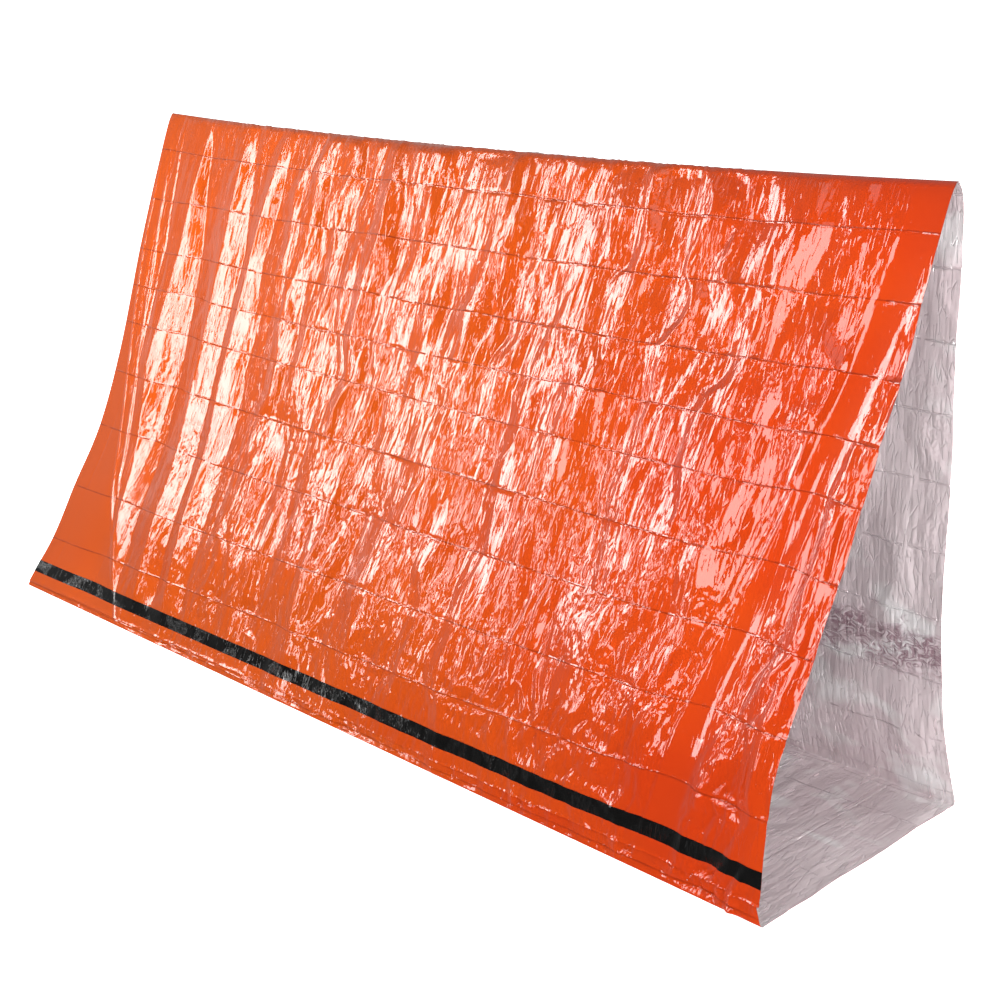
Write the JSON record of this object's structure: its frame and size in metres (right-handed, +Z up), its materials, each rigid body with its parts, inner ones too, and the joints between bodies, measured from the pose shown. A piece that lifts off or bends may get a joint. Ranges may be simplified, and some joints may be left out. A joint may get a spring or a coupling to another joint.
{
  "type": "emergency tube tent",
  "caption": "Open-ended tube of metallised film pitched as a triangular tunnel, orange outside and silver inside, lapped and taped low on the front wall.",
  "frame": {"origin": "on the ground, at the centre of the footprint's bounding box", "axes": "+X along the ridge, -Y out of the front wall that carries the seam tape, +Z up"},
  "size_m": [2.4, 0.6764, 1.17],
  "materials": {
    "orange_film": "glossy metallised polyethylene film, crinkled along its pack folds",
    "silver_lining": "aluminised film, soft mirror with a faint lilac cast",
    "black_tape": "glossy black seam tape"
  },
  "bodies": {
    "root": {"front_wall_film": "orange_film", "back_wall_film": "orange_film", "floor_film": "orange_film", "seam_underlap_film": "orange_film", "front_wall_lining": "silver_lining", "back_wall_lining": "silver_lining", "floor_lining": "silver_lining", "seam_underlap_lining": "silver_lining", "seam_tape": "black_tape"}
  },
  "joints": []
}
